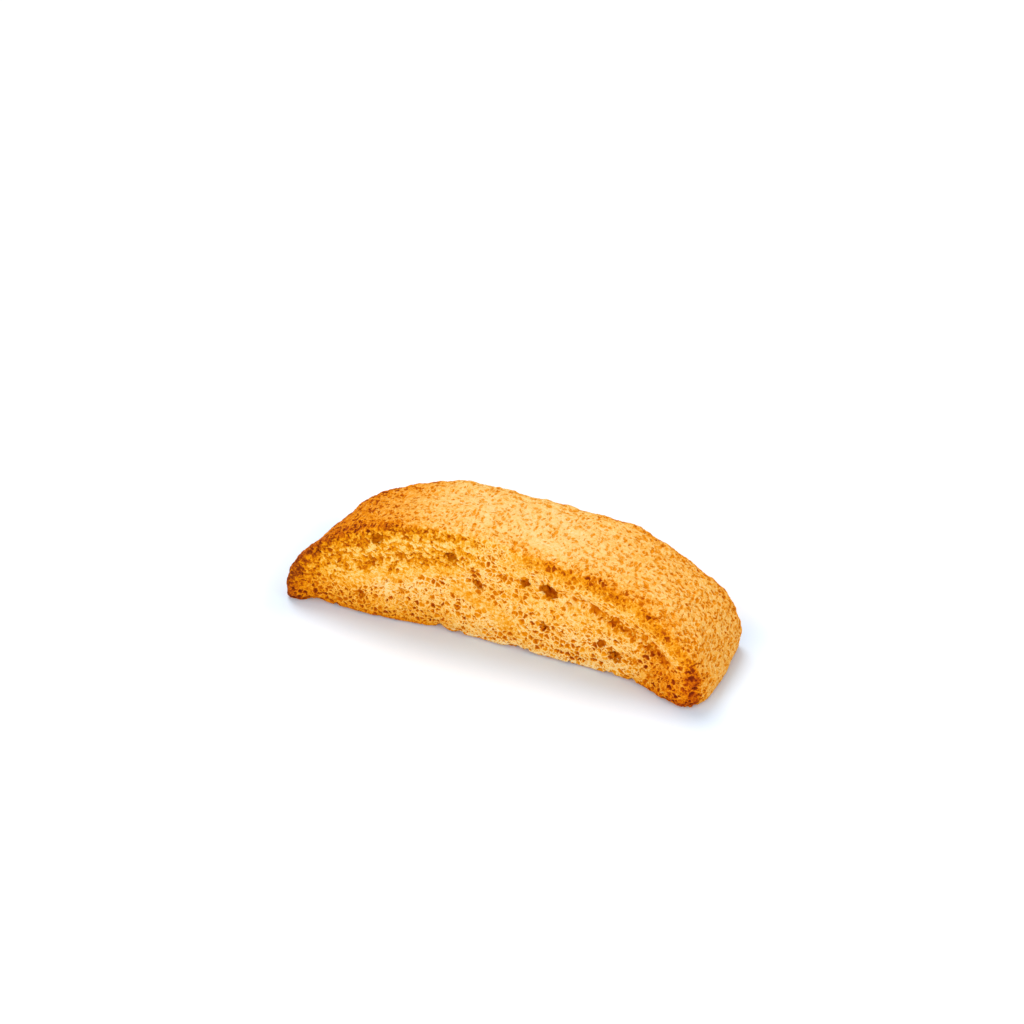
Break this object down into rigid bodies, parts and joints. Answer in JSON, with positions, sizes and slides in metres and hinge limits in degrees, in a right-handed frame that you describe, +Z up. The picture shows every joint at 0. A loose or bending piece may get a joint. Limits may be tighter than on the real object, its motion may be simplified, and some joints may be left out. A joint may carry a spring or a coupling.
{
  "type": "biscotto",
  "caption": "Crisp twice-baked biscuit slice: a half-moon with a domed golden crust, porous cut faces and a flat underside that it stands on.",
  "frame": {"origin": "bottom centre of the slice's box, on its flat underside", "axes": "+X along the slice from its slender tip to its blunt heel, +Y through its thickness from the cut face that is shown to the one behind, +Z up from the underside to the crust"},
  "size_m": [0.12, 0.032, 0.035],
  "materials": {
    "baked_dough": "matt, dry and porous, golden with browned edges"
  },
  "bodies": {
    "root": {"biscotto": "baked_dough"}
  },
  "joints": []
}
